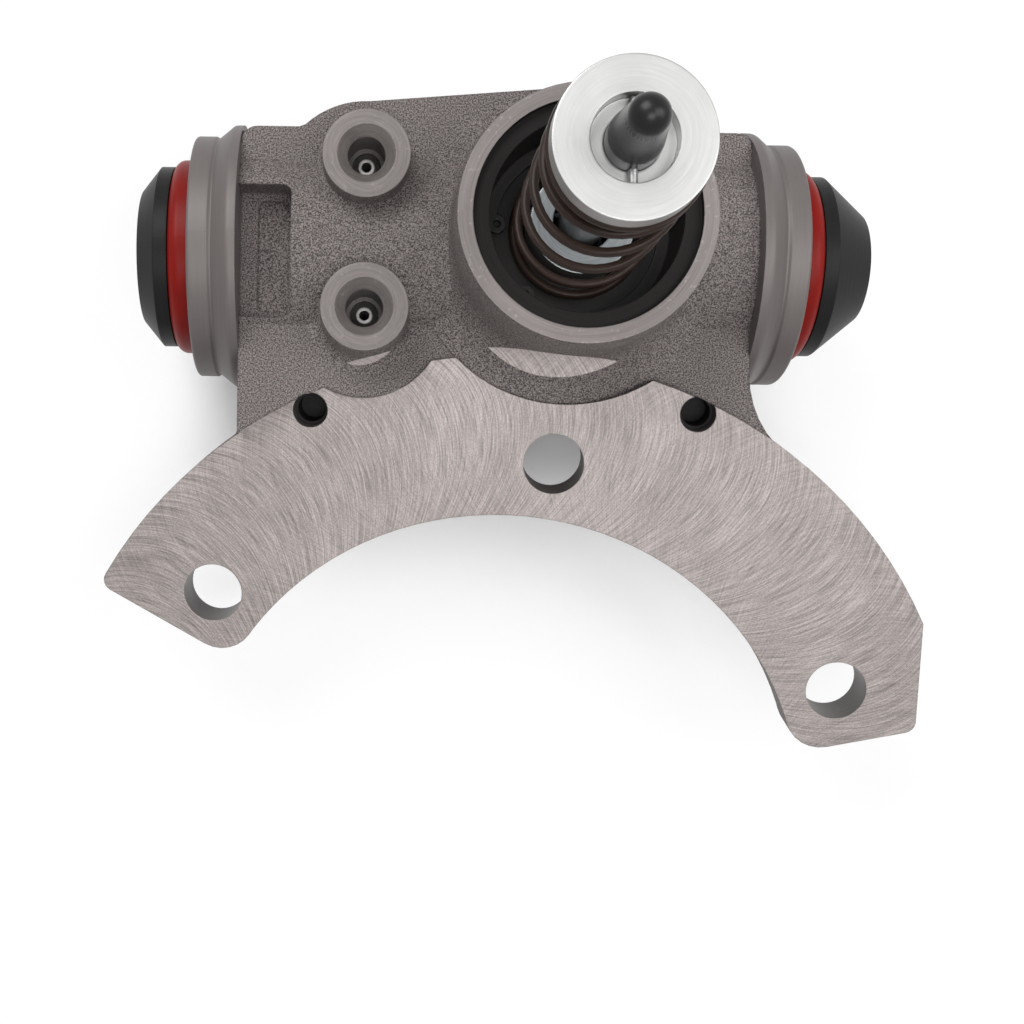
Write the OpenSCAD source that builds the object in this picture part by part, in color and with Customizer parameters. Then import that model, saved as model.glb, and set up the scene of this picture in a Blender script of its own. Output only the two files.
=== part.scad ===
// Wheel cylinder with a wedge actuator: two pistons are pushed apart by oil or by the wedge rod.
// X runs along the piston bore, Z along the wedge rod, and Z = 0 is the flat foot of the casting.

/* [Piston bore] */
// Height of the piston bore above the foot
axis_z = 40; // [38:0.5:44]
// Diameter of the piston bore
bore_d = 28.6; // [26:0.1:30]
// Body end on the oil side, from the wedge axis
body_left = 80.8; // [79:0.1:86]
// Body end on the other side, from the wedge axis
body_right = 45.2; // [43:0.1:50]
// Radial running clearance of the sliding pieces
slide_gap = 0.05; // [0.02:0.01:0.1]

/* [Casting] */
// Height of the flat front face above the foot
face_z = 60; // [58.5:0.5:62]
// Half the width of the body across the bore
body_half = 28.5; // [27:0.5:30]
// Reach of the body towards the flange
neck_y = 52; // [49:0.5:56]
// Underside of the neck
neck_z = 39; // [36:0.5:40]
// Width of the foot across the bore
foot_w = 60; // [50:1:66]
// Offset of the foot towards the flange
foot_y = 8; // [4:0.5:12]
// Length of the foot along the bore
foot_l = 96; // [70:1:110]
// Height of the foot under the barrel
foot_h = 16; // [14.5:0.5:20]
// Depth of the cast pocket at the oil end
pocket_t = 3; // [2:0.1:3.5]
// Length of the cast pocket along the bore
pocket_l = 13; // [10:0.5:16]
// Width of the cast pocket
pocket_w = 31.6; // [20:0.2:36]
// Extra depth of the pocket's inner panel
panel_t = 1.2; // [0.6:0.1:1.4]
// Border between the pocket's edge and its inner panel
panel_edge = 2; // [1.5:0.1:3.5]

/* [Boss] */
// Height of the boss rim above the foot
rim_z = 93; // [90:0.5:97]
// Outside diameter of the boss
boss_d = 58.6; // [56:0.2:61]
// Diameter of the rim's counterbore
rim_bore_d = 51.6; // [50:0.2:53]
// Depth of the rim's counterbore
rim_bore_t = 2; // [1:0.1:3]
// Diameter of the boss bore
boss_bore_d = 44; // [43:0.2:46]
// Depth of the boss bore below the rim
boss_bore_t = 23; // [20:0.5:25]
// Diameter of the wedge chamber
chamber_d = 40; // [38.5:0.1:41]
// Floor of the wedge chamber above the foot
chamber_z = 7.5; // [6:0.1:8]
// Fillet at the foot of the boss
boss_fillet = 12.5; // [11:0.1:14]

/* [Ports] */
// Distance of the two ports from the wedge axis
port_x = 49.8; // [48:0.1:52]
// Place of the upper port across the bore
port_hi = 18.1; // [17.5:0.1:19]
// Distance between the ports
port_pitch = 36.3; // [35:0.1:37.5]
// Height of the port faces above the foot
port_z = 74; // [72:0.5:77]
// Outside diameter of a port boss
port_d = 21; // [19.5:0.1:22]
// Fillet at the foot of a port boss
port_fillet = 4; // [3:0.1:5]
// Diameter of the port hole
port_bore_d = 9; // [8.4:0.1:9.6]
// Depth of the port hole
port_bore_t = 12.2; // [11:0.1:13]
// Diameter of the port's countersunk mouth
port_mouth_d = 14; // [12:0.1:15]
// Diameter of a tube seat
tube_seat_d = 7; // [6.4:0.1:7.8]
// Length of a tube seat
tube_seat_l = 4.5; // [3.5:0.1:6]
// Diameter of the oil drilling
oil_d = 2.4; // [2:0.1:3]

/* [Flange] */
// Tilt of the flange from the rod's square
flange_tilt = 14.9; // [13:0.1:16]
// Turn of the tilted flange about the rod axis
flange_turn = 15.9; // [14:0.1:17]
// Turn of the bolt pattern within the flange
flange_spin = 8.2; // [7:0.1:9]
// Sideways place of the wheel centre
wheel_x = -14; // [-16:0.1:-12]
// Place of the wheel centre below the bore
wheel_y = -142.7; // [-144.5:0.1:-141]
// Height of the wheel centre above the foot
wheel_z = 34.7; // [33.5:0.1:36]
// Inside radius of the flange
flange_in_r = 78.9; // [76:0.1:82]
// Outside radius of the flange
flange_out_r = 118.5; // [117:0.1:120]
// Thickness of the flange
flange_t = 11.8; // [10:0.1:13]
// Radius of the bolt circle
bolt_r = 92.9; // [92:0.1:96]
// Diameter of the bolt holes
bolt_d = 15; // [12:0.1:16.5]
// Angle between neighbouring bolt holes
bolt_step = 60; // [58:0.5:62]
// Radius of the circle of tapped holes
tap_r = 115; // [113:0.1:115.5]
// Diameter of the tapped holes
tap_d = 6.9; // [6:0.1:7.5]
// Depth of the tapped holes
tap_t = 11; // [9:0.5:11.5]
// Angle from the middle bolt hole to the left tapped hole
tap_left = 32.4; // [31:0.1:34]
// Angle from the middle bolt hole to the right tapped hole
tap_right = 16.4; // [15.5:0.1:18]
// Angle from the left bolt hole to the flange's left end
flange_end_left = 8.2; // [7.5:0.1:9]
// Angle from the right bolt hole to the flange's right end
flange_end_right = 9.1; // [8.5:0.1:10]

/* [Pistons] */
// Diameter of the piston heads
head_d = 45.6; // [42:0.2:47]
// Thickness of the rim of a piston head
head_rim = 3.4; // [2.5:0.1:5]
// Diameter of the left piston's flat end
left_tip_d = 34; // [28:0.5:38]
// Diameter of the right piston's flat end
right_tip_d = 27.6; // [22:0.2:34]
// Length of the left piston's conical nose
left_nose = 4.8; // [4:0.1:8]
// Length of the right piston's conical nose
right_nose = 10.8; // [6:0.1:12]
// Largest diameter of a gland
gland_d = 66.4; // [62:0.2:72]
// Diameter of a gland's outer step
gland_step_d = 60.8; // [56:0.2:61]
// Length of a gland's large step
gland_step_l = 6.3; // [5:0.1:8]
// Whole length of a gland
gland_l = 12.1; // [11.5:0.1:15]
// Diameter of the body spigot that carries a gland
spigot_d = 50; // [46:0.2:52]
// Length of the body spigot
spigot_l = 4.5; // [3:0.1:5]
// Outside diameter of a dust seal
seal_d = 49; // [47:0.2:52]
// Length of the dust seal outside the gland
seal_out = 5.6; // [4:0.1:7]
// Length of the dust seal inside the gland
seal_in = 3; // [2:0.1:4]
// Distance from the body's right end in to the plunger's ring
oil_ring_in = 8; // [7:0.1:10]
// Width of the plunger's ring
oil_ring_l = 3; // [2:0.1:4]
// Thickness of the plunger's ring
oil_ring_t = 2.4; // [1.5:0.1:3]

/* [Oil chamber] */
// Length of each rubber cup
cup_l = 5; // [4:0.1:6]
// Length of the chamber between the cups
oil_l = 14; // [12:0.5:18]
// Wire diameter of the cup spring
cup_wire_d = 1.2; // [1:0.1:1.5]
// Coil diameter of the cup spring, at the wire's middle
cup_coil_d = 14; // [11:0.5:16]
// Number of turns of the cup spring
cup_turns = 4; // [3:1:6]

/* [Wedge] */
// Rise of each wedge face for each millimetre along the rod
wedge_slope = 0.25; // [0.2:0.01:0.27]
// Half the thickness of the wedge at its tip
tip_half = 2; // [1.5:0.1:2.5]
// Height of the wedge tip above the foot
tip_z = 26; // [25:0.5:29]
// Length of the wedge
wedge_l = 24; // [20:0.5:26]
// Width of the wedge
wedge_w = 14; // [12:0.5:15]
// Diameter of the rod
rod_d = 10.8; // [9:0.1:11]
// Diameter of the rod's round end
rod_end_d = 8; // [7:0.1:8.4]
// Height of the rod's end above the foot
rod_top_z = 163.5; // [160:0.5:168]
// Diameter of the rollers
roller_d = 10; // [9:0.1:10.5]
// Length of the rollers
roller_l = 15; // [13:0.5:15.5]
// Diameter of the roller trunnions
trunnion_d = 4; // [3:0.1:4.5]
// Gap between a roller and each face that it rolls on
roll_gap = 0.15; // [0.1:0.05:0.25]
// Height of the roller axes above the foot
roller_z = 42; // [41:0.5:43]
// Diameter of the cage's round cap
cage_d = 24; // [22:0.2:26]
// Height of the cage's top above the foot
cage_top_z = 85; // [82:0.5:88]
// Sheet thickness of the cage
cage_t = 1.5; // [1.2:0.1:1.8]

/* [Return spring] */
// Diameter of the spring retainer
retainer_d = 31; // [29:0.1:32]
// Thickness of the spring retainer
retainer_t = 4.8; // [4.6:0.1:6]
// Height of the retainer's top above the foot
retainer_z = 147.2; // [145:0.1:150]
// Diameter of the retainer's counterbore
retainer_bore_d = 16.8; // [15:0.1:18]
// Depth of the retainer's counterbore
retainer_bore_t = 3.4; // [2.6:0.1:3.6]
// Diameter of the cross pin
pin_d = 1.9; // [1.6:0.1:2.4]
// Wire diameter of the return spring
wire_d = 2.7; // [2.4:0.1:3]
// Coil diameter of the return spring, at the wire's middle
coil_d = 29.4; // [28:0.1:29.6]
// Number of open turns of the return spring
turns = 4; // [3.5:0.5:6]
// Thickness of the spring seat
seat_t = 2.5; // [2:0.1:3]
// Thickness of the snap ring
ring_t = 1.6; // [1.2:0.1:2]
// Radial depth of the snap ring's groove
groove_t = 1.3; // [1:0.1:1.6]
// Opening of the snap ring, in degrees
ring_gap = 51; // [40:1:56]

/* [Hidden] */
$fn = 64;

eps = 0.01;
lap = 0.3;
far = 200;
bore_r = bore_d / 2;
ports = [port_hi, port_hi - port_pitch];
roller_r = roller_d / 2;
roll_run = (roller_r + roll_gap) / cos(atan(wedge_slope));
roller_x = wedge_half(roller_z) + roll_run;
ramp_x = wedge_half(axis_z) + 2 * roll_run;
port_floor_z = port_z - port_bore_t;
seat_z = rim_z - boss_bore_t;
ring_z = seat_z + seat_t;
spring_low_z = seat_z + seat_t;
spring_top_z = retainer_z - retainer_t;
cup_in_x = port_x - oil_l / 2;
cup_out_x = port_x + oil_l / 2;
port_pad_d = port_d + 18.6;
cutter_r = flange_out_r + 2.2;
port_cutter_r = flange_out_r + 4.2;
pad_hi = [-port_x, port_hi - 5.6];
pad_hi_r = 22.5;
pad_boss_r = 39.2;
boss_pad_d = 2 * pad_boss_r + 0.2;
shoulder_r = 9;

// Half the thickness of the wedge at a height
function wedge_half(z) = tip_half + (z - tip_z) * wedge_slope;
function polar(r, a) = r * [cos(a), sin(a)];
function unit(v) = v / norm(v);
function turn_to(a, b) = b - a > 180 ? b - a - 360 : b - a < -180 ? b - a + 360 : b - a;
function arc(r, a0, a1, n) = [for (i = [0:n]) polar(r, a0 + (a1 - a0) * i / n)];

// Points of an arc of radius r that rounds the corner p between a and b
function round_corner(a, p, b, r, n = 6) =
    let (u = unit(a - p), w = unit(b - p), half = acos(u * w) / 2, c = p + unit(u + w) * r / sin(half))
    let (s = p + u * r / tan(half) - c, e = p + w * r / tan(half) - c, a0 = atan2(s.y, s.x))
    [for (i = [0:n]) c + polar(r, a0 + turn_to(a0, atan2(e.y, e.x)) * i / n)];

// Points of a wire that coils up the Z axis, with a closed turn at each end
function coil_rise(t, h, open, lift) =
    t < 1 ? lift * t : t < 1 + open ? lift + (h - 2 * lift) * (t - 1) / open : h - lift * (2 + open - t);
function coil_points(r, h, open, lift, steps) =
    [for (i = [0:round((open + 2) * steps)]) let (t = i / steps)
        [r * cos(360 * t), r * sin(360 * t), coil_rise(t, h, open, lift)]];

// A round wire swept along points
module wire(points, d, sides = 8) {
    n = len(points);
    rings = [for (i = [0:n - 1])
        let (f = unit(points[min(i + 1, n - 1)] - points[max(i - 1, 0)]))
        let (out = unit([points[i].x, points[i].y, 0]), side = unit(cross(f, out)), up = cross(side, f))
        for (k = [0:sides - 1])
            points[i] + d / 2 * (up * cos(360 * k / sides) + side * sin(360 * k / sides))];
    walls = [for (i = [0:n - 2], k = [0:sides - 1]) let (m = (k + 1) % sides)
        [i * sides + k, (i + 1) * sides + k, (i + 1) * sides + m, i * sides + m]];
    ends = [[for (k = [0:sides - 1]) k], [for (k = [sides - 1:-1:0]) (n - 1) * sides + k]];
    polyhedron(rings, concat(walls, ends));
}

// Children that stand on Z are laid along the bore, outwards to the right (1) or left (-1)
module along_bore(side) {
    translate([0, 0, axis_z]) rotate([0, 90 * side, 0]) children();
}

module ring(r_out, r_in, h) {
    difference() {
        cylinder(r = r_out, h = h);
        translate([0, 0, -eps]) cylinder(r = r_in, h = h + 2 * eps);
    }
}

// Everything in the flange's own frame, with its middle hole on +Y and its face at Z = 0
module on_flange() {
    translate([wheel_x, wheel_y, wheel_z]) rotate([0, 0, -flange_turn]) rotate([flange_tilt, 0, 0])
        rotate([0, 0, flange_spin]) children();
}

flange_left = 90 + bolt_step + flange_end_left;
flange_right = 90 - bolt_step - flange_end_right;
flange_chamfer = flange_right + 13.6;
end_round = 9;
tip_round = 3;
arc_trim = 7;
nut_l = 22;
web_r_left = 10;
web_r_right = 24;
web_drop = 1;
// How the sideways place changes over the flange's own X and Y
side_grad = [
    cos(flange_turn) * cos(flange_spin) + sin(flange_turn) * cos(flange_tilt) * sin(flange_spin),
    sin(flange_turn) * cos(flange_tilt) * cos(flange_spin) - cos(flange_turn) * sin(flange_spin)];

// Outline of the flange, a third of a ring with rounded ends
module flange_outline() {
    in_l = polar(flange_in_r, flange_left);
    in_r = polar(flange_in_r, flange_right);
    out_l = polar(flange_out_r, flange_left);
    out_r = polar(flange_out_r - 9, flange_right);
    outer = arc(flange_out_r, flange_chamfer, flange_left - 2, 40);
    inner = arc(flange_in_r, flange_left - arc_trim, flange_right + arc_trim, 36);
    polygon(concat(
        outer,
        round_corner(outer[len(outer) - 1], out_l, in_l, tip_round),
        round_corner(out_l, in_l, inner[0], end_round),
        inner,
        round_corner(inner[len(inner) - 1], in_r, out_r, end_round),
        round_corner(in_r, out_r, outer[0], tip_round)));
}

module flange_holes() {
    for (i = [-1:1]) rotate(90 + bolt_step * i) translate([bolt_r, 0, -flange_t - eps])
        cylinder(d = bolt_d, h = flange_t + 2 * eps);
    for (a = [90 + tap_left, 90 - tap_right]) rotate(a) translate([tap_r, 0, 0]) {
        translate([0, 0, -tap_t]) cylinder(d = tap_d, h = tap_t + far);
        translate([0, 0, -4]) cylinder(d = tap_d + 1.8, h = far);
    }
}

// Space that the face cutter sweeps over the flange
module milled_space() {
    difference() {
        on_flange() linear_extrude(far) difference() {
            circle(r = flange_out_r + 0.4, $fn = 180);
            circle(r = flange_in_r - 5);
        }
        translate([-port_x, ports[1], 0]) cylinder(d = port_pad_d, h = far);
    }
}

// Room for the nut under the flange at the middle bolt hole
module nut_space() {
    on_flange() translate([0, bolt_r, -flange_t - nut_l]) cylinder(d = bolt_d + 10, h = nut_l + lap);
}

// Concave fillets where the flange's outer edge leaves the body's sides
module flange_webs() {
    up = unit([-side_grad.y, side_grad.x]);
    edge_r = flange_out_r - lap;
    for (x = [lap - body_left, body_right - lap]) {
        a = atan2(side_grad.y, side_grad.x) + acos((x - wheel_x) / edge_r / norm(side_grad));
        root = polar(edge_r, a);
        edge = polar(edge_r, a + (a > 90 ? 10 : -10));
        inner = root + up * 5 + [a > 90 ? 4 : -4, 0];
        fillet = round_corner(edge, root, root + up, a > 90 ? web_r_left : web_r_right);
        translate([0, 0, lap]) linear_extrude(flange_t - web_drop - lap)
            polygon(concat([root * 0.97], fillet, [inner]));
    }
}

module flange() {
    difference() {
        union() {
            on_flange() translate([0, 0, -flange_t]) linear_extrude(flange_t) flange_outline();
            difference() {
                on_flange() translate([0, 0, -flange_t]) flange_webs();
                translate([-far, -far, face_z - lap]) cube(2 * far);
            }
        }
        translate([0, 0, face_z]) cylinder(d = boss_pad_d, h = far);
        translate([-port_x, ports[1], face_z]) cylinder(d = port_pad_d, h = far);
    }
}

// Round boss that stands on the face with a concave fillet at its foot, no wider than its reach
module filleted_boss(d, top, fillet, reach) {
    translate([0, 0, face_z]) {
        translate([0, 0, -eps]) cylinder(d = d, h = top - face_z + eps);
        rotate_extrude() difference() {
            translate([0, -2]) square([min(d / 2 + fillet, reach), fillet + 2]);
            translate([d / 2 + fillet, fillet]) circle(r = fillet);
        }
    }
}

// Front of the casting: the pads under the bosses, joined by a straight web
module front_pads() {
    c1 = pad_hi;
    lean = atan2(-c1.y, -c1.x);
    n = polar(1, lean + acos((pad_hi_r - pad_boss_r) / norm(c1)));
    translate([0, 0, neck_z]) linear_extrude(face_z - neck_z) {
        translate(c1) circle(r = pad_hi_r);
        circle(r = pad_boss_r);
        polygon([c1, [0, 0], (pad_boss_r - lap / 2) * n, c1 + (pad_hi_r - lap / 2) * n]);
        shoulder_fillet(c1, pad_hi_r - lap, -1);
        shoulder_fillet([0, 0], pad_boss_r - lap, 1);
    }
}

// Concave fillet between a pad and the straight shoulder, on the pad's left (-1) or right (1)
module shoulder_fillet(c, r, side) {
    base = body_half - lap;
    rise = base + shoulder_r - c.y;
    mid = c + [side * sqrt(pow(r + shoulder_r, 2) - rise * rise), rise];
    end = atan2(c.y - mid.y, c.x - mid.x);
    polygon(concat([c, [mid.x, base - 3]],
        [for (i = [0:8]) mid + polar(shoulder_r, -90 + (end + 90) * i / 8)]));
}

module body_block() {
    round_r = 4;
    span = [[-body_left, body_half], [-body_left, -neck_y], [body_right, -neck_y], [body_right, body_half]];
    translate([0, 0, neck_z]) linear_extrude(face_z - neck_z)
        polygon([for (i = [0:3]) each round_corner(span[(i + 3) % 4], span[i], span[(i + 1) % 4], round_r)]);
    translate([-body_left, 0, axis_z]) rotate([0, 90, 0]) cylinder(r = body_half, h = body_left + body_right);
    translate([-body_left, -body_half, axis_z])
        cube([body_left + body_right, 2 * body_half, face_z - axis_z - 4]);
    translate([(body_right - body_left - foot_l) / 2, -foot_w / 2 - foot_y, 0])
        linear_extrude(foot_h) {
            box = [[0, 0], [foot_l, 0], [foot_l, foot_w], [0, foot_w]];
            polygon([for (i = [0:3]) each round_corner(box[(i + 3) % 4], box[i], box[(i + 1) % 4], 8)]);
        }
    translate([(body_right - body_left - foot_l) / 2 + 8, -foot_w / 2 - foot_y + 4, foot_h - eps])
        cube([foot_l - 16, foot_w / 2 + foot_y - 4, neck_z - foot_h + 1]);
}

// Upright block with rounded corners, from its low corner
module round_block(size, r) {
    box = [[0, 0], [size.x, 0], [size.x, size.y], [0, size.y]];
    linear_extrude(size.z)
        polygon([for (i = [0:3]) each round_corner(box[(i + 3) % 4], box[i], box[(i + 1) % 4], r)]);
}

module pocket() {
    mid_y = -3.1;
    low = [-body_left, mid_y - pocket_w / 2, face_z - pocket_t];
    translate(low - [10, 0, 0]) round_block([pocket_l + 10, pocket_w, far], 2.5);
    translate(low + [pocket_l / 3, panel_edge, -panel_t])
        round_block([pocket_l * 2 / 3 - panel_edge / 2, pocket_w - 2 * panel_edge, far], 2);
}

module port_drilling(y) {
    sink = (port_mouth_d - port_bore_d) / 2;
    translate([-port_x, y, port_floor_z]) cylinder(d = port_bore_d, h = far);
    translate([-port_x, y, port_floor_z - tube_seat_l]) cylinder(d = tube_seat_d, h = far);
    translate([-port_x, y, port_z - sink])
        cylinder(d1 = port_bore_d, d2 = port_mouth_d + 2 * sink, h = 2 * sink);
    translate([-port_x, y, axis_z]) cylinder(d = oil_d, h = far);
    translate([-port_x, 0, axis_z + oil_d]) rotate([sign(y) * -90, 0, 0]) cylinder(d = oil_d, h = abs(y));
}

module spigot(side, end) {
    along_bore(side) translate([0, 0, end - eps]) cylinder(d = spigot_d, h = spigot_l + eps);
}

module wedge_chamber() {
    translate([0, 0, chamber_z]) cylinder(d = chamber_d, h = far);
    translate([0, 0, seat_z]) cylinder(d = boss_bore_d, h = far);
    translate([0, 0, rim_z - rim_bore_t]) cylinder(d = rim_bore_d, h = far);
    translate([0, 0, ring_z]) cylinder(d = boss_bore_d + 2 * groove_t, h = ring_t + slide_gap);
}

module housing() {
    color("dimgray") difference() {
        union() {
            difference() {
                union() {
                    body_block();
                    front_pads();
                }
                milled_space();
                pocket();
                nut_space();
            }
            flange();
            difference() {
                filleted_boss(boss_d, rim_z, boss_fillet, pad_boss_r - lap);
                on_flange() cylinder(r = cutter_r, h = far, $fn = 180);
            }
            difference() {
                for (y = ports) translate([-port_x, y, 0]) filleted_boss(port_d, port_z, port_fillet, port_d);
                on_flange() cylinder(r = port_cutter_r, h = far, $fn = 180);
            }
            spigot(-1, body_left);
            spigot(1, body_right);
        }
        along_bore(1) translate([0, 0, -far]) cylinder(d = bore_d, h = 2 * far);
        wedge_chamber();
        for (y = ports) port_drilling(y);
        on_flange() flange_holes();
    }
}

// Turned ring on the body's spigot: a tapered skirt and a collar with a seat for the dust seal
module gland(side, end) {
    edge = 0.8;
    neck_r = gland_step_d / 2 - 0.5;
    skirt = [[gland_d / 2, 0], [gland_d / 2, 2.2], [neck_r, gland_step_l],
        [gland_step_d / 2, gland_step_l + edge]];
    along_bore(side) translate([0, 0, end]) rotate_extrude() difference() {
        polygon(concat([[0, 0], skirt[0]],
            round_corner(skirt[0], skirt[1], skirt[2], 2),
            round_corner(skirt[1], skirt[2], skirt[3], edge / 2, 4),
            [skirt[3]],
            round_corner(skirt[3], [gland_step_d / 2, gland_l], [0, gland_l], edge),
            [[0, gland_l]]));
        translate([-1, -1]) square([spigot_d / 2 + 1, spigot_l + 1]);
        translate([-1, -1]) square([bore_r + 2.5, far]);
        translate([-1, gland_l - seal_in]) square([seal_d / 2 + 1, far]);
    }
}

module gland_left() {
    color("gray") gland(-1, body_left);
}

module gland_right() {
    color("gray") gland(1, body_right);
}

// Ring of rubber with a round bead outside the gland and a lip on the piston
module dust_seal(side, end) {
    bead = seal_out / 2;
    color("firebrick") along_bore(side) translate([0, 0, end + gland_l - seal_in]) rotate_extrude()
        difference() {
            union() {
                translate([bore_r + slide_gap, 0])
                    square([seal_d / 2 - bead - bore_r - slide_gap, seal_in + bead]);
                translate([seal_d / 2 - bead, 0]) square([bead, seal_in + bead]);
                translate([seal_d / 2 - bead, seal_in + bead]) circle(r = bead);
                translate([bore_r + 3, seal_in]) square([seal_d / 2 - bead - bore_r - 3, seal_out]);
            }
            translate([bore_r + 2.2, seal_in + 0.8]) square([seal_d / 2 - 2 * bead - bore_r - 2.2, far]);
        }
}

module dust_seal_left() {
    dust_seal(-1, body_left);
}

module dust_seal_right() {
    dust_seal(1, body_right);
}

// Wide head outside the dust seal, with a conical nose
module piston_head(end, tip_d, nose) {
    back = end + gland_l + seal_out + slide_gap;
    translate([0, 0, back]) {
        cylinder(d = head_d, h = head_rim);
        translate([0, 0, head_rim - eps])
            cylinder(d1 = head_d, d2 = tip_d, h = nose);
    }
}

module piston_left() {
    shank_end = body_left + gland_l + seal_out + 1;
    color("#222") along_bore(-1) difference() {
        union() {
            translate([0, 0, cup_out_x + cup_l])
                cylinder(r = bore_r - slide_gap, h = shank_end - cup_out_x - cup_l);
            piston_head(body_left, left_tip_d, left_nose);
        }
        translate([0, 0, body_left + gland_l]) cylinder(d = 12, h = far);
    }
}

// Half space beyond the roller ramp, seen from the wedge, with the ramp through the bore axis
module ramp_cut(side) {
    translate([side * ramp_x, 0, axis_z]) rotate([0, side * atan(wedge_slope), 0])
        translate([side > 0 ? -far : 0, -far / 2, -far / 2]) cube([far, far, far]);
}

module plunger_left() {
    color("gray") difference() {
        along_bore(-1) cylinder(r = bore_r - slide_gap, h = cup_in_x - cup_l);
        ramp_cut(-1);
    }
}

module plunger_right() {
    shank_end = body_right + gland_l + seal_out + 1;
    color("#222") difference() {
        along_bore(1) difference() {
            union() {
                cylinder(r = bore_r - slide_gap, h = shank_end);
                piston_head(body_right, right_tip_d, right_nose);
            }
            translate([0, 0, body_right - oil_ring_in]) ring(bore_r, bore_r - oil_ring_t, oil_ring_l);
        }
        ramp_cut(1);
    }
}

module plunger_ring() {
    color("black") along_bore(1) translate([0, 0, body_right - oil_ring_in + eps])
        ring(bore_r - slide_gap, bore_r - oil_ring_t, oil_ring_l - 2 * eps);
}

// Rubber cup with a lip that opens towards the oil
module cup(x, towards) {
    lip = 2;
    color("black") along_bore(-1) translate([0, 0, x]) difference() {
        cylinder(r = bore_r - slide_gap, h = cup_l);
        translate([0, 0, towards > 0 ? cup_l - lip : -eps])
            cylinder(r1 = bore_r - (towards > 0 ? 4 : 1.5), r2 = bore_r - (towards > 0 ? 1.5 : 4),
                h = lip + 2 * eps);
    }
}

module piston_cup() {
    cup(cup_out_x, -1);
}

module plunger_cup() {
    cup(cup_in_x - cup_l, 1);
}

module cup_spring() {
    lip = 2;
    low = cup_in_x - lip + cup_wire_d / 2 + 0.1;
    high = cup_out_x + lip - cup_wire_d / 2 - 0.1;
    color("silver") along_bore(-1) translate([0, 0, low])
        wire(coil_points(cup_coil_d / 2, high - low, cup_turns, cup_wire_d * 1.05, 12), cup_wire_d);
}

// Conical seat that a flared tube is drawn down on
module tube_seat(y) {
    cone = 1.5;
    color("gray") translate([-port_x, y, port_floor_z - tube_seat_l]) difference() {
        union() {
            cylinder(d = tube_seat_d, h = tube_seat_l - cone);
            translate([0, 0, tube_seat_l - cone - eps])
                cylinder(d1 = tube_seat_d, d2 = tube_seat_d - 2 * cone, h = cone + eps);
        }
        translate([0, 0, -eps]) cylinder(d = oil_d, h = tube_seat_l + 2 * eps);
    }
}

module tube_seat_upper() {
    tube_seat(ports[0]);
}

module tube_seat_lower() {
    tube_seat(ports[1]);
}

module wedge_rod() {
    top_z = tip_z + wedge_l;
    taper_z = retainer_z + 1;
    dome_z = rod_top_z - rod_end_d / 2;
    color("#333") difference() {
        union() {
            translate([0, wedge_w / 2, 0]) rotate([90, 0, 0]) linear_extrude(wedge_w) polygon([
                [-tip_half, tip_z], [tip_half, tip_z],
                [wedge_half(top_z), top_z], [-wedge_half(top_z), top_z]]);
            translate([0, 0, top_z - 1]) cylinder(d = rod_d, h = taper_z - top_z + 1);
            translate([0, 0, taper_z - eps]) cylinder(d1 = rod_d, d2 = rod_end_d, h = dome_z - taper_z);
            translate([0, 0, dome_z - eps]) sphere(d = rod_end_d);
        }
        translate([0, 0, pin_z()]) rotate([90, 0, 0]) cylinder(d = pin_d, h = far, center = true);
    }
}

function pin_z() = retainer_z - retainer_bore_t + pin_d / 2;

module spring_retainer() {
    color("whitesmoke") translate([0, 0, spring_top_z]) difference() {
        cylinder(d = retainer_d, h = retainer_t);
        translate([0, 0, -eps]) cylinder(d = rod_d + 2 * slide_gap, h = far);
        translate([0, 0, retainer_t - retainer_bore_t]) cylinder(d = retainer_bore_d, h = far);
    }
}

module cross_pin() {
    color("dimgray") translate([0, 0, pin_z()]) rotate([90, 0, 0])
        cylinder(d = pin_d, h = retainer_bore_d - 0.6, center = true);
}

module return_spring() {
    color("saddlebrown") translate([0, 0, spring_low_z + wire_d / 2])
        wire(coil_points(coil_d / 2, spring_top_z - spring_low_z - wire_d, turns, wire_d * 1.05, 20), wire_d);
}

module spring_seat() {
    color("#332") translate([0, 0, seat_z]) ring(boss_bore_d / 2 - slide_gap, cage_d / 2 + 0.4, seat_t);
}

// Internal snap ring: a band in the boss groove with an eye at each end
module snap_ring() {
    out_r = boss_bore_d / 2 + groove_t - slide_gap;
    band = 4;
    eye_r = 2.2;
    eye_at = out_r - band - 0.4;
    mid = 203;
    color("#222") translate([0, 0, ring_z]) difference() {
        union() {
            difference() {
                ring(out_r, out_r - band, ring_t);
                rotate(mid - ring_gap / 2) linear_extrude(far, center = true)
                    polygon([[0, 0], polar(far, 0), polar(far, ring_gap / 2), polar(far, ring_gap)]);
            }
            for (s = [-1, 1]) rotate(mid + s * (ring_gap / 2 + 3)) translate([eye_at, 0, 0])
                cylinder(r = eye_r, h = ring_t);
        }
        for (s = [-1, 1]) rotate(mid + s * (ring_gap / 2 + 3)) translate([eye_at, 0, -eps])
            cylinder(d = 1.8, h = far);
    }
}

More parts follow.
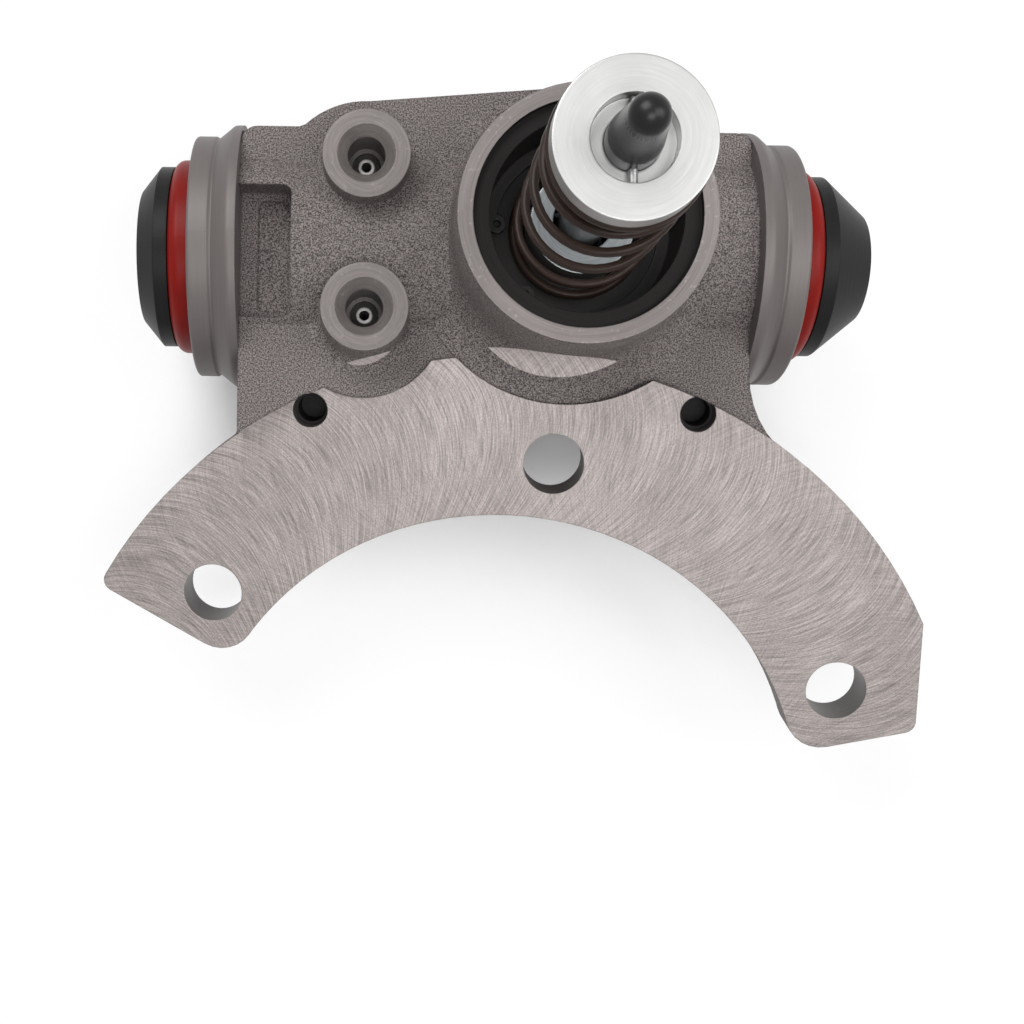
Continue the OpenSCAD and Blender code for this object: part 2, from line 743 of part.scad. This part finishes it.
// Sheet cage: a round cap on the rod and two cheeks with open slots for the roller trunnions
module roller_cage() {
    cheek_y = roller_l / 2 + 0.3;
    cheek_half = chamber_d / 2 - 3.2;
    cheek_low = roller_z - trunnion_d / 2 - 7;
    low_half = wedge_half(cheek_low) + 2 * roll_run - 0.5;
    bend_z = tip_z + (cheek_half + 0.5 - 2 * roll_run - tip_half) / wedge_slope;
    wall_low = tip_z + wedge_l + 3;
    cheek_top = wall_low + 3;
    slot_w = trunnion_d + 0.3;
    color("lightsteelblue") difference() {
        union() {
            difference() {
                translate([0, 0, wall_low]) cylinder(d = cage_d, h = cage_top_z - wall_low);
                translate([0, 0, wall_low - eps])
                    cylinder(d = cage_d - 2 * cage_t, h = cage_top_z - wall_low - cage_t);
            }
            for (s = [-1, 1]) translate([0, s * (cheek_y + cage_t / 2) + cage_t / 2, 0]) rotate([90, 0, 0])
                linear_extrude(cage_t) polygon([[-low_half, cheek_low], [low_half, cheek_low],
                    [cheek_half, bend_z], [cheek_half, cheek_top],
                    [-cheek_half, cheek_top], [-cheek_half, bend_z]]);
        }
        cylinder(d = rod_d + 3, h = far);
        for (s = [-1, 1]) translate([s * roller_x, 0, roller_z]) {
            rotate([90, 0, 0]) cylinder(d = slot_w, h = far, center = true);
            translate([s > 0 ? 0 : -far, -far / 2, -slot_w / 2]) cube([far, far, slot_w]);
        }
    }
}

module roller(side) {
    color("silver") translate([side * roller_x, 0, roller_z]) rotate([90, 0, 0]) {
        cylinder(d = roller_d, h = roller_l, center = true);
        cylinder(d = trunnion_d, h = roller_l + 2 * (cage_t + 0.6), center = true);
    }
}

module roller_left() {
    roller(-1);
}

module roller_right() {
    roller(1);
}

housing();
gland_left();
gland_right();
dust_seal_left();
dust_seal_right();
piston_left();
plunger_left();
plunger_right();
piston_cup();
plunger_cup();
cup_spring();
tube_seat_upper();
tube_seat_lower();
wedge_rod();
spring_retainer();
cross_pin();
return_spring();
spring_seat();
snap_ring();
roller_cage();
roller_left();
roller_right();
plunger_ring();
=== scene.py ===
import math
import bpy
from mathutils import Matrix, Vector


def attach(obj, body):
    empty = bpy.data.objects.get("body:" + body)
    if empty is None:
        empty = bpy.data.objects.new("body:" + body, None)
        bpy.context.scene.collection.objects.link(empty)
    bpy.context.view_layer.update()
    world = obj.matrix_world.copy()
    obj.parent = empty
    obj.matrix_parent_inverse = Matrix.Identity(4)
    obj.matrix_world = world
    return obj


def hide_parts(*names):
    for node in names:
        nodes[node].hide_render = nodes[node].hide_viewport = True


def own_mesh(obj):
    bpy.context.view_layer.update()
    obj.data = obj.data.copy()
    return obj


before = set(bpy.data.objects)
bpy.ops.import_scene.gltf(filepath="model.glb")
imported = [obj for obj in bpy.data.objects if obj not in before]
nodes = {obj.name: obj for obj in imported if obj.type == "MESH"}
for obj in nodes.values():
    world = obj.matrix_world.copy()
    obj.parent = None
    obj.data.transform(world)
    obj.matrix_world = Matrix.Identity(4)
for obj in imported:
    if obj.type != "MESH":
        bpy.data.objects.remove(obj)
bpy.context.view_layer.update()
MM = 0.001


def turn(degrees, axis):
    return Matrix.Rotation(math.radians(degrees), 3, axis)


def grey(level):
    return (level,) * 3


# Places of the solids' machined faces, in mm and degrees; a reach is the radius within which a face counts
FLANGE_AT = Vector((-14.0, -142.7, 34.7)) * MM
FLANGE_TURN = turn(-15.9, "Z") @ turn(14.9, "X") @ turn(8.2, "Z")
FLANGE_REACH = 124.0
BAND_R = 99.0
CUTTER_R = 31.0
BOLT_R = 92.9
BOLT_ANGLES = (30, 90, 150)
BOLT_REACH = 7.8
TAP_R = 115.0
TAP_ANGLES = (122.4, 73.6)
TAP_REACH = 4.8
# Tapped-hole walls above this depth are drawn lit; deeper faces get painted shade
TAP_LIT_DEPTH = 4.2
PORT_X = -49.8
PORT_Y = {"port_upper": 18.1, "port_lower": -18.2}
PORT_Z = 74.0
PORT_REACH = 10.6
PORT_FACE_DEPTH = 2.6
PORT_BORE_REACH = 5.0
PORT_BORE_Z = 54.5
RIM_Z = 93.0
RIM_REACH = 30.0
BOSS_BORE_REACH = 27.0
BOSS_BORE_Z = 56.0
CHAMBER_REACH = 20.5
CHAMBER_LOW_Z = 7.0
CHAMBER_TOP_Z = 71.0
BORE_Z = 40.0
BORE_REACH = 14.6
PIN_Z = 144.7
ROD_END_Z = 158.5

# How far a face may lie from a plane, in mm, and how squarely it has to face along an axis
MILLED_SLACK = 0.02
FACED_SLACK = 0.05
SQUARE = 0.99
NEARLY_SQUARE = 0.9
MOSTLY = 0.5
HARDLY = 0.2


# Shader helpers
class Finish:
    """A material with one Principled BSDF, and short ways to add nodes to it."""

    def __init__(self, name):
        self.mat = bpy.data.materials.new(name)
        self.mat.use_nodes = True
        self.tree = self.mat.node_tree
        self.bsdf = self.tree.nodes["Principled BSDF"]
        self.place = self.add("ShaderNodeTexCoord").outputs["Object"]

    def add(self, kind, settings=None, **inputs):
        made = self.tree.nodes.new(kind)
        for key, value in (settings or {}).items():
            setattr(made, key, value)
        for key, value in inputs.items():
            self.put(made, key, value)
        return made

    def put(self, target, key, value):
        """Link or set an input, named with _ for a space, or by its number as i0, i1 and so on."""
        numbered = key[0] == "i" and key[1:].isdigit()
        socket = target.inputs[int(key[1:]) if numbered else key.replace("_", " ")]
        if isinstance(value, bpy.types.NodeSocket):
            self.tree.links.new(value, socket)
        else:
            socket.default_value = value

    def set(self, **inputs):
        for key, value in inputs.items():
            self.put(self.bsdf, key, value)

    def math(self, operation, a, b=0.0):
        return self.add("ShaderNodeMath", {"operation": operation}, i0=a, i1=b).outputs[0]

    def noise(self, scale, detail=3.0, rough=0.55, vector=None):
        made = self.add("ShaderNodeTexNoise", Scale=scale, Detail=detail, Roughness=rough)
        self.put(made, "Vector", vector or self.place)
        return made.outputs["Fac"]

    def ramp(self, value, stops):
        made = self.add("ShaderNodeValToRGB", Fac=value)
        band = made.color_ramp.elements
        while len(band) < len(stops):
            band.new(0.5)
        for spot, (at, colour) in zip(band, stops):
            spot.position = at
            spot.color = (*colour, 1.0)
        return made.outputs["Color"]

    def mix(self, kind, amount, a, b):
        made = self.add("ShaderNodeMixRGB", {"blend_type": kind}, Fac=amount)
        self.put(made, "Color1", a if isinstance(a, bpy.types.NodeSocket) else (*a, 1.0))
        self.put(made, "Color2", b if isinstance(b, bpy.types.NodeSocket) else (*b, 1.0))
        return made.outputs[0]

    def between(self, value, low, high):
        return self.add("ShaderNodeMapRange", Value=value, To_Min=low, To_Max=high).outputs[0]

    def bump(self, height, depth_mm, normal=None):
        made = self.add("ShaderNodeBump", Strength=1.0, Distance=depth_mm * MM, Height=height)
        if normal is not None:
            self.put(made, "Normal", normal)
        return made.outputs["Normal"]

    def soft_edges(self, radius_mm):
        return self.add("ShaderNodeBevel", {"samples": 6}, Radius=radius_mm * MM).outputs["Normal"]

    def radius(self, u, v):
        square = self.math("ADD", self.math("MULTIPLY", u, u), self.math("MULTIPLY", v, v))
        return self.math("SQRT", square)

    def swirl(self, centre_mm, axis, across, along):
        """Noise drawn out along circles round an axis through centre_mm, as a tool leaves it."""
        centre = tuple(v * MM for v in centre_mm)
        moved = self.add("ShaderNodeVectorMath", {"operation": "SUBTRACT"}, i0=self.place, i1=centre)
        xyz = self.add("ShaderNodeSeparateXYZ", Vector=moved.outputs[0]).outputs
        u, v, w = {"x": (1, 2, 0), "y": (2, 0, 1), "z": (0, 1, 2)}[axis]
        angle = self.math("ARCTAN2", xyz[v], xyz[u])
        point = self.add("ShaderNodeCombineXYZ",
                         X=self.math("MULTIPLY", self.radius(xyz[u], xyz[v]), across),
                         Y=self.math("MULTIPLY", angle, along),
                         Z=self.math("MULTIPLY", xyz[w], across))
        return self.noise(1.0, detail=2.0, rough=0.6, vector=point.outputs[0])


def cast_finish(name, dark, light, bevel_mm):
    """Sand-cast skin: fine grain over soft lumps, with shaded patches and small pits."""
    f = Finish(name)
    grain = f.noise(2700, detail=3.0, rough=0.65)
    lumps = f.noise(420, detail=2.0, rough=0.5)
    patches = f.noise(38, detail=3.0, rough=0.5)
    pits = f.add("ShaderNodeTexVoronoi", Scale=330.0, Vector=f.place).outputs["Distance"]
    middle = tuple((a + b) / 2.2 for a, b in zip(dark, light))
    shade = f.ramp(patches, [(0.35, (0.66, 0.63, 0.61)), (0.65, grey(1.0))])
    pitted = f.ramp(pits, [(0.0, grey(0.0)), (0.16, grey(1.0))])
    tone = f.ramp(grain, [(0.41, dark), (0.5, middle), (0.6, light)])
    tone = f.mix("MULTIPLY", 0.35, tone, shade)
    tone = f.mix("MULTIPLY", 0.35, tone, pitted)
    height = f.math("ADD", f.math("MULTIPLY", grain, 0.55), f.math("MULTIPLY", lumps, 0.6))
    f.set(Base_Color=tone, Metallic=0.1, Roughness=f.between(grain, 0.52, 0.75),
          Normal=f.bump(height, 0.55, f.soft_edges(bevel_mm)))
    return f.mat


def milled_finish(name, dark, light, rough, bevel_mm):
    """Bowed marks across the flange, as a face cutter leaves them on its way round the band."""
    f = Finish(name)
    turned = f.add("ShaderNodeMapping", {"vector_type": "TEXTURE"}, Vector=f.place, Location=FLANGE_AT,
                   Rotation=FLANGE_TURN.to_euler())
    xyz = f.add("ShaderNodeSeparateXYZ", Vector=turned.outputs[0]).outputs
    along = f.math("MULTIPLY", f.math("ARCTAN2", xyz[1], xyz[0]), BAND_R * MM)
    off = f.math("SUBTRACT", f.radius(xyz[0], xyz[1]), BAND_R * MM)
    inside = f.math("SUBTRACT", (CUTTER_R * MM) ** 2, f.math("MULTIPLY", off, off))
    bow = f.math("SQRT", f.math("MAXIMUM", inside, 0.0))

    def sweep(way, fine, coarse, shift):
        """Noise along the cutter's rim: ADD for its front edge, SUBTRACT for its back edge."""
        feed = f.math(way, along, bow)
        point = f.add("ShaderNodeCombineXYZ", X=f.math("MULTIPLY", feed, fine),
                      Y=f.math("MULTIPLY", off, coarse), Z=shift)
        return f.noise(1.0, detail=3.0, rough=0.62, vector=point.outputs[0])

    front = sweep("ADD", fine=2700.0, coarse=85.0, shift=0.0)
    back = sweep("SUBTRACT", fine=2000.0, coarse=85.0, shift=7.0)
    wide = sweep("ADD", fine=150.0, coarse=20.0, shift=3.0)
    mark = f.mix("MIX", 0.3, front, back)
    broad = f.mix("MIX", 0.5, wide, f.noise(45, detail=4.0, rough=0.6))
    grain = f.noise(2600, detail=3.0, rough=0.65)
    middle = tuple((a + b) / 2 for a, b in zip(dark, light))
    tone = f.ramp(mark, [(0.32, dark), (0.5, middle), (0.68, light)])
    tone = f.mix("MULTIPLY", 0.6, tone, f.ramp(broad, [(0.35, (0.68, 0.67, 0.66)), (0.65, grey(1.0))]))
    tone = f.mix("MULTIPLY", 0.6, tone, f.ramp(grain, [(0.4, (0.6, 0.58, 0.57)), (0.58, grey(1.0))]))
    f.set(Base_Color=tone, Metallic=0.4, Roughness=f.between(mark, rough, rough + 0.16),
          Normal=f.bump(mark, 0.06, f.soft_edges(bevel_mm)))
    return f.mat


def turned_finish(name, line, colour, metallic, rough, depth=0.02, bevel_mm=0.4, spread=0.18, shine=0.5,
                  flecks=0.0):
    """Fine tool rings round a line, given as a point on it and its axis."""
    f = Finish(name)
    mark = f.swirl(*line, across=2600.0, along=1.2)
    haze = f.noise(90)
    low = tuple(c * (1 - spread) for c in colour)
    high = tuple(min(1.0, c * (1 + spread)) for c in colour)
    tone = f.ramp(mark, [(0.3, low), (0.7, high)])
    tone = f.mix("MULTIPLY", 0.25, tone, f.ramp(haze, [(0.3, grey(0.75)), (0.7, grey(1.0))]))
    if flecks:
        spots = f.ramp(f.noise(700, detail=4.0, rough=0.6), [(0.6, grey(0.0)), (0.66, grey(flecks))])
        tone = f.mix("MIX", spots, tone, tuple(c * 2.2 for c in colour))
    f.set(Base_Color=tone, Metallic=metallic, Roughness=f.between(haze, rough - 0.05, rough + 0.07),
          Specular_IOR_Level=shine, Normal=f.bump(mark, depth, f.soft_edges(bevel_mm)))
    return f.mat


def rubber_finish(name, colour, rough):
    f = Finish(name)
    haze = f.noise(120)
    tone = f.ramp(haze, [(0.3, tuple(c * 0.82 for c in colour)), (0.7, colour)])
    f.set(Base_Color=tone, Roughness=f.between(haze, rough - 0.05, rough + 0.1), Specular_IOR_Level=0.12,
          Normal=f.bump(f.noise(1400, detail=2.0), 0.02))
    return f.mat


# Finishes; each turned one has the line that it was turned round
BORE_LINE = ((0, 0, BORE_Z), "x")
ROD_LINE = ((0, 0, 0), "z")
ROLLER_LINE = ((0, 0, 0), "y")
PIN_LINE = ((0, 0, PIN_Z), "y")
PORT_LINE = {port: ((PORT_X, y, 0), "z") for port, y in PORT_Y.items()}


def port_finish(name, port):
    return turned_finish(name, PORT_LINE[port], (0.135, 0.119, 0.114), 0.35, 0.45, depth=0.05, flecks=0.2)


house_looks = {
    "cast": cast_finish("cast_iron", (0.024, 0.0195, 0.0187), (0.27, 0.234, 0.226), 1.2),
    "milled": milled_finish("milled_iron", (0.132, 0.116, 0.111), (0.45, 0.402, 0.39), 0.4, 0.35),
    "faced": turned_finish("faced_rim", ROD_LINE, (0.165, 0.146, 0.141), 0.35, 0.45, depth=0.05, flecks=0.3),
    "port_upper": port_finish("faced_port_0", "port_upper"),
    "port_lower": port_finish("faced_port_1", "port_lower"),
    # painted shade: a near-black copy of the machined iron for faces deep in the boss, the chamber and the
    # tapped holes, where shade falls
    "painted_shade_bore": turned_finish("painted_shade_bore_iron", ROD_LINE, (0.011, 0.0095, 0.009), 0.05, 0.45, depth=0.03, shine=0.1),
    "drilled": turned_finish("drilled_iron", ROD_LINE, (0.09, 0.08, 0.077), 0.4, 0.42, depth=0.04),
    "honed": turned_finish("honed_bore", BORE_LINE, grey(0.4), 0.8, 0.3),
}
gland_grey = turned_finish("gland_left", BORE_LINE, (0.122, 0.108, 0.105), 0.2, 0.46, depth=0.005,
                           spread=0.05, shine=0.35)
seal_red = rubber_finish("seal_red", (0.2, 0.0075, 0.005), 0.36)
cup_rubber = rubber_finish("cup_rubber", grey(0.02), 0.5)
black_oxide = turned_finish("black_oxide", BORE_LINE, (0.009, 0.0085, 0.0085), 0.0, 0.4, shine=0.12)
plunger_steel = turned_finish("plunger_steel", BORE_LINE, grey(0.4), 0.9, 0.3)
cup_spring_steel = turned_finish("cup_spring", BORE_LINE, grey(0.45), 0.9, 0.3)
seat_steel = turned_finish("seat_steel", PORT_LINE["port_upper"], (0.34, 0.33, 0.32), 0.8, 0.35)
rod_steel = turned_finish("rod_steel", ROD_LINE, (0.042, 0.042, 0.043), 0.25, 0.34, shine=0.25)
rod_end = turned_finish("rod_end", ROD_LINE, (0.006, 0.006, 0.0065), 0.0, 0.3, shine=0.22)
bright_washer = turned_finish("bright_washer", ROD_LINE, (0.46, 0.46, 0.452), 0.85, 0.36, bevel_mm=0.5,
                              spread=0.05)
pin_steel = turned_finish("pin_steel", PIN_LINE, grey(0.3), 0.8, 0.35)
spring_brown = turned_finish("spring_brown", ROD_LINE, (0.026, 0.016, 0.0125), 0.0, 0.32, depth=0.03,
                             shine=0.14)
seat_ring = turned_finish("seat_ring", ROD_LINE, (0.02, 0.018, 0.017), 0.1, 0.42, shine=0.2)
ring_black = turned_finish("ring_black", ROD_LINE, (0.02, 0.018, 0.017), 0.2, 0.4, shine=0.25)
zinc = turned_finish("zinc", ROD_LINE, (0.3, 0.32, 0.33), 0.9, 0.34, depth=0.01)
roller_steel = turned_finish("roller_steel", ROLLER_LINE, grey(0.5), 0.95, 0.22)

node_finishes = {
    "gland_left": gland_grey,
    "gland_right": gland_grey,
    "dust_seal_left": seal_red,
    "dust_seal_right": seal_red,
    "piston_left": black_oxide,
    "plunger_left": plunger_steel,
    "plunger_right": black_oxide,
    "plunger_ring": cup_rubber,
    "piston_cup": cup_rubber,
    "plunger_cup": cup_rubber,
    "cup_spring": cup_spring_steel,
    "tube_seat_upper": seat_steel,
    "tube_seat_lower": seat_steel,
    "wedge_rod": rod_steel,
    "spring_retainer": bright_washer,
    "cross_pin": pin_steel,
    "return_spring": spring_brown,
    "spring_seat": seat_ring,
    "snap_ring": ring_black,
    "roller_cage": zinc,
    "roller_left": roller_steel,
    "roller_right": roller_steel,
}
for name, finish in node_finishes.items():
    nodes[name].data.materials.clear()
    nodes[name].data.materials.append(finish)

# The rod's round end is blacker than its shaft
rod = nodes["wedge_rod"].data
rod.materials.append(rod_end)
for face in rod.polygons:
    face.material_index = 1 if face.center.z > ROD_END_Z * MM else 0


# The casting: machined faces are told from cast ones by where they lie, and faces deep in hollows get painted
# shade
def hole_gap(at, radius, degrees):
    """How far a place in the flange's frame lies from a hole's middle line, in mm."""
    x = radius * math.cos(math.radians(degrees))
    y = radius * math.sin(math.radians(degrees))
    return math.hypot(at.x / MM - x, at.y / MM - y)


def look_of(face):
    x, y, z = face.center / MM
    n = face.normal
    r = math.hypot(x, y)
    inward = n.x * x + n.y * y < -0.01 * r
    at = FLANGE_TURN.transposed() @ (face.center - FLANGE_AT)
    lean = FLANGE_TURN.transposed() @ n
    on_band = abs(at.z) < MILLED_SLACK * MM and math.hypot(at.x, at.y) < FLANGE_REACH * MM
    if on_band and lean.z > SQUARE:
        return "milled"
    if abs(z - RIM_Z) < FACED_SLACK and n.z > NEARLY_SQUARE and r < RIM_REACH:
        return "faced"
    # Deep in the boss and in the chamber, machined faces get the near-black painted shade
    if r < BOSS_BORE_REACH and z > BOSS_BORE_Z and (inward or n.z > MOSTLY):
        return "painted_shade_bore"
    if r < CHAMBER_REACH and CHAMBER_LOW_Z < z < CHAMBER_TOP_Z:
        return "painted_shade_bore"
    for port, port_y in PORT_Y.items():
        away = math.hypot(x - PORT_X, y - port_y)
        if away < PORT_REACH and z > PORT_Z - PORT_FACE_DEPTH and n.z > MOSTLY:
            return port
        if away < PORT_BORE_REACH and z > PORT_BORE_Z:
            return "drilled"
    if math.hypot(y, z - BORE_Z) < BORE_REACH:
        return "honed"
    if abs(lean.z) < HARDLY and any(hole_gap(at, BOLT_R, k) < BOLT_REACH for k in BOLT_ANGLES):
        return "drilled"
    # Tapped holes: the wall near the mouth gets the lit drilled finish, deeper faces the near-black painted
    # shade
    if at.z < 0 and any(hole_gap(at, TAP_R, k) < TAP_REACH for k in TAP_ANGLES):
        return "drilled" if at.z > -TAP_LIT_DEPTH * MM and lean.z < MOSTLY else "painted_shade_bore"
    if z < FACED_SLACK:
        return "faced"
    return "cast"


house = nodes["housing"].data
house.materials.clear()
for look in house_looks.values():
    house.materials.append(look)
look_names = list(house_looks)
for face in house.polygons:
    face.material_index = look_names.index(look_of(face))

# Return spring with round wire, in place of the faceted one: outside it is the same size
SPRING_LOW = 72.5
SPRING_TOP = 142.4
WIRE = 2.1
COIL = 30.0
TURNS = 4.0
CLOSED_PITCH = WIRE * 1.02


def spring_line(steps):
    """Points up the wire's middle, in mm: a closed turn, the open turns and a closed turn."""
    high = SPRING_TOP - SPRING_LOW - WIRE
    line = []
    for i in range(int((TURNS + 2) * steps) + 1):
        t = i / steps
        if t < 1:
            rise = CLOSED_PITCH * t
        elif t < 1 + TURNS:
            rise = CLOSED_PITCH + (high - 2 * CLOSED_PITCH) * (t - 1) / TURNS
        else:
            rise = high - CLOSED_PITCH + CLOSED_PITCH * (t - 1 - TURNS)
        a = 2 * math.pi * t
        line.append(Vector((COIL / 2 * math.cos(a), COIL / 2 * math.sin(a), SPRING_LOW + WIRE / 2 + rise)))
    return line


def spring_mesh(name, sides=14, steps=40):
    line = spring_line(steps)
    last = len(line) - 1
    verts = []
    for i, p in enumerate(line):
        way = (line[min(i + 1, last)] - line[max(i - 1, 0)]).normalized()
        out = Vector((p.x, p.y, 0)).normalized()
        side = way.cross(out).normalized()
        up = side.cross(way)
        for k in range(sides):
            a = 2 * math.pi * k / sides
            verts.append((p + WIRE / 2 * (up * math.cos(a) + side * math.sin(a))) * MM)
    faces = []
    for i in range(last):
        for k in range(sides):
            m = (k + 1) % sides
            faces.append((i * sides + k, i * sides + m, (i + 1) * sides + m, (i + 1) * sides + k))
    faces.append(tuple(reversed(range(sides))))
    faces.append(tuple(last * sides + k for k in range(sides)))
    mesh = bpy.data.meshes.new(name)
    mesh.from_pydata(verts, [], faces)
    mesh.update()
    for face in mesh.polygons:
        face.use_smooth = len(face.vertices) == 4
    return mesh


spring = bpy.data.objects.new("return_spring_wire", spring_mesh("return_spring_wire"))
bpy.context.scene.collection.objects.link(spring)
spring.data.materials.append(spring_brown)
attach(spring, "housing")
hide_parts("return_spring")
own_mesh(spring)


# Floor and sky, white where they are seen and plainer as light
def shown_rays(tree):
    """1 for the rays that show the white background: to the camera, off metal and through glass."""
    path = tree.nodes.new("ShaderNodeLightPath").outputs
    shown = path["Is Camera Ray"]
    for ray in ("Is Glossy Ray", "Is Transmission Ray"):
        either = tree.nodes.new("ShaderNodeMath")
        either.operation = "MAXIMUM"
        tree.links.new(shown, either.inputs[0])
        tree.links.new(path[ray], either.inputs[1])
        shown = either.outputs[0]
    return shown


FLOOR_HALF = 3
FLOOR_Z = -0.0002
FLOOR_GLOW = 0.82
SHADOW_REACH = 0.12
SKY_LIGHT = 0.3


def floor_finish(name):
    """Pale floor that glows white where it is seen, and less so in the shade near the object."""
    f = Finish(name)
    f.set(Base_Color=f.ramp(f.noise(4), [(0.0, grey(0.9)), (1.0, grey(0.93))]), Roughness=0.9)
    glow = f.add("ShaderNodeEmission", Strength=1.0, Color=(1.0, 1.0, 1.0, 1.0))
    above = f.add("ShaderNodeAmbientOcclusion", {"samples": 8}, Distance=SHADOW_REACH).outputs["AO"]
    clear = f.ramp(above, [(0.42, grey(0.05)), (0.62, grey(1.0))])
    share = f.math("MULTIPLY", f.math("MULTIPLY", shown_rays(f.tree), clear), FLOOR_GLOW)
    joined = f.add("ShaderNodeMixShader", Fac=share, i1=f.bsdf.outputs[0], i2=glow.outputs[0])
    f.tree.links.new(joined.outputs[0], f.tree.nodes["Material Output"].inputs["Surface"])
    return f.mat


floor_mesh = bpy.data.meshes.new("floor")
corners = [(x * FLOOR_HALF, y * FLOOR_HALF, FLOOR_Z) for x, y in ((-1, -1), (1, -1), (1, 1), (-1, 1))]
floor_mesh.from_pydata(corners, [], [(0, 1, 2, 3)])
floor_mesh.materials.append(floor_finish("pale_floor"))
floor = bpy.data.objects.new("floor", floor_mesh)
bpy.context.scene.collection.objects.link(floor)

world = bpy.data.worlds.new("studio")
bpy.context.scene.world = world
world.use_nodes = True
sky = world.node_tree.nodes["Background"]
sky.inputs["Color"].default_value = (1.0, 1.0, 1.0, 1.0)
level = world.node_tree.nodes.new("ShaderNodeMapRange")
level.inputs["To Min"].default_value = SKY_LIGHT
level.inputs["To Max"].default_value = 1.0
world.node_tree.links.new(shown_rays(world.node_tree), level.inputs["Value"])
world.node_tree.links.new(level.outputs[0], sky.inputs["Strength"])


# Lamps, all aimed at the middle of the object
LAMP_AIM = Vector((-0.02, -0.05, 0.05))


def softbox(name, at, size, watts):
    lamp = bpy.data.lights.new(name, "AREA")
    lamp.shape = "RECTANGLE"
    lamp.size, lamp.size_y = size
    lamp.energy = watts
    obj = bpy.data.objects.new(name, lamp)
    bpy.context.scene.collection.objects.link(obj)
    obj.location = at
    obj.rotation_euler = (LAMP_AIM - Vector(at)).to_track_quat("-Z", "Y").to_euler()


softbox("key", (-0.35, 0.45, 0.75), (0.5, 0.5), 5.6)
softbox("fill", (0.5, 0.0, 0.7), (0.4, 0.6), 3.3)
softbox("low", (0.02, -0.3, 0.85), (0.4, 0.3), 2.8)

# Camera, looking straight down; the pixel values are the photo's
PHOTO_PX = 1024
FOCAL_PX = 1400
CENTRE_PX = (365.4, 569.2)
CAMERA_AT = (-0.04854, -0.08037, 0.405)
CAMERA_TURN = 0.9
lens = bpy.data.cameras.new("camera")
lens.sensor_width = 36.0
lens.lens = FOCAL_PX / PHOTO_PX * lens.sensor_width
lens.shift_x = (PHOTO_PX / 2 - CENTRE_PX[0]) / PHOTO_PX
lens.shift_y = (CENTRE_PX[1] - PHOTO_PX / 2) / PHOTO_PX
lens.clip_start = 0.01
camera = bpy.data.objects.new("camera", lens)
camera.location = CAMERA_AT
camera.rotation_euler = (0, 0, math.radians(CAMERA_TURN))
bpy.context.scene.collection.objects.link(camera)
bpy.context.scene.camera = camera
bpy.context.scene.view_settings.view_transform = "Standard"
